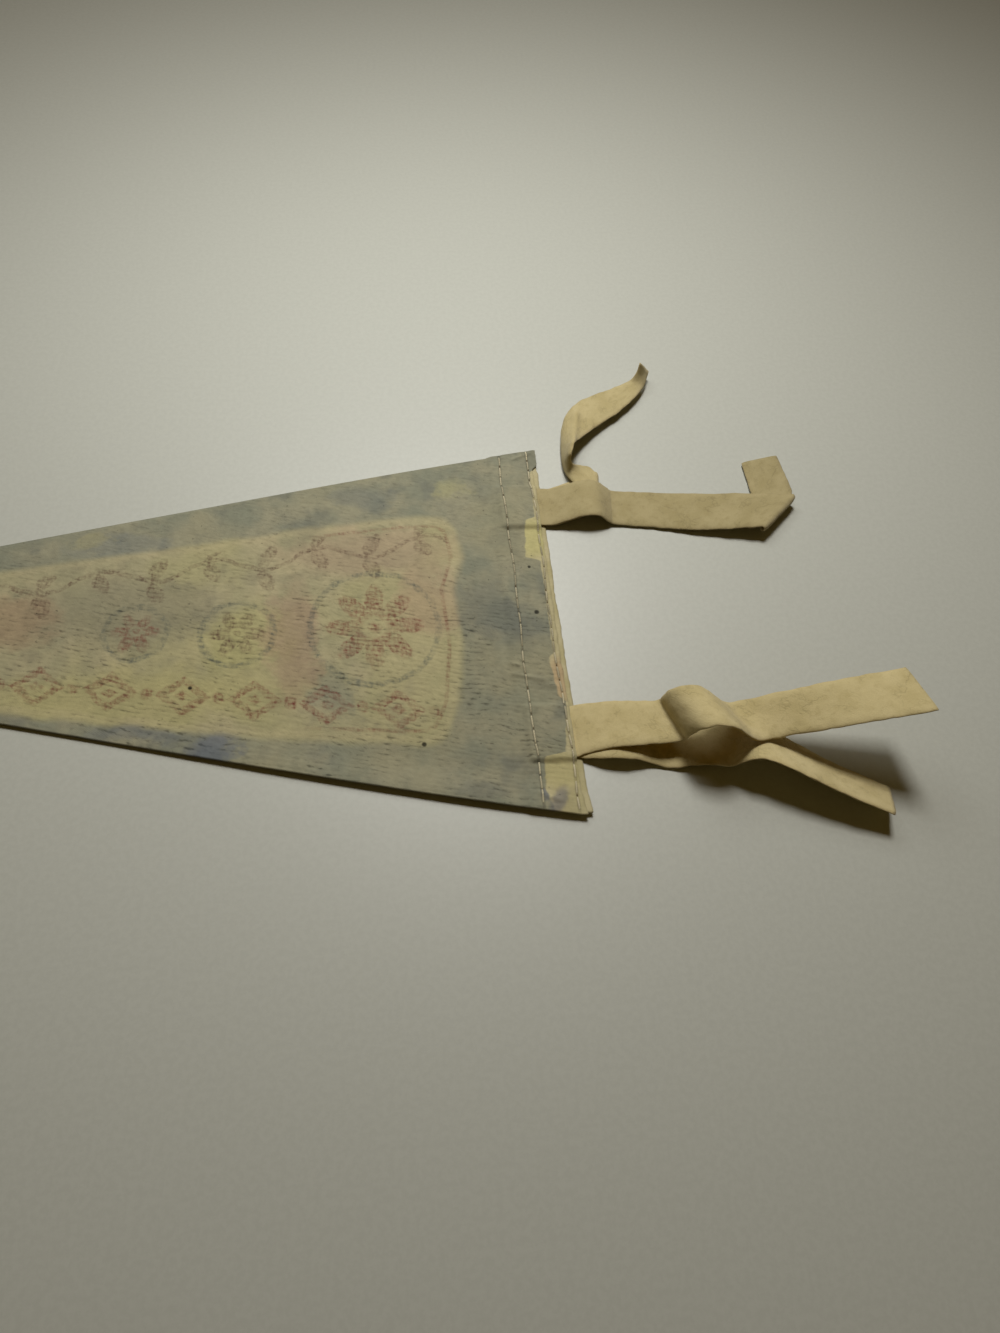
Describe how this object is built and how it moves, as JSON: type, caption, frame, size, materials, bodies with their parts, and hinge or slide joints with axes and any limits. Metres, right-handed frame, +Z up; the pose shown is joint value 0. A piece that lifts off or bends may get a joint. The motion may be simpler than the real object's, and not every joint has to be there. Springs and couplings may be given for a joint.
{
  "type": "souvenir pennant",
  "caption": "Small triangular cloth pennant lying flat on its face, with a sewn heading strip and felt tie strips at its wide end.",
  "frame": {"origin": "on the surface that it lies on, under the middle of the whole object's box", "axes": "+X from the tip to the ties, +Y up along the heading, +Z up from the surface"},
  "size_m": [0.2958, 0.134, 0.0214],
  "materials": {
    "faded_cloth": "coarse ribbed cotton, faded, printed side down",
    "heading_cloth": "plain cream cotton, cut edge",
    "cream_felt": "matt cream felt, slightly mottled"
  },
  "bodies": {
    "root": {"pennant_cloth": "faded_cloth", "heading_strip": "heading_cloth", "tie_upper_over": "cream_felt", "tie_upper_under": "cream_felt", "tie_lower_over": "cream_felt", "tie_lower_under": "cream_felt"}
  },
  "joints": []
}
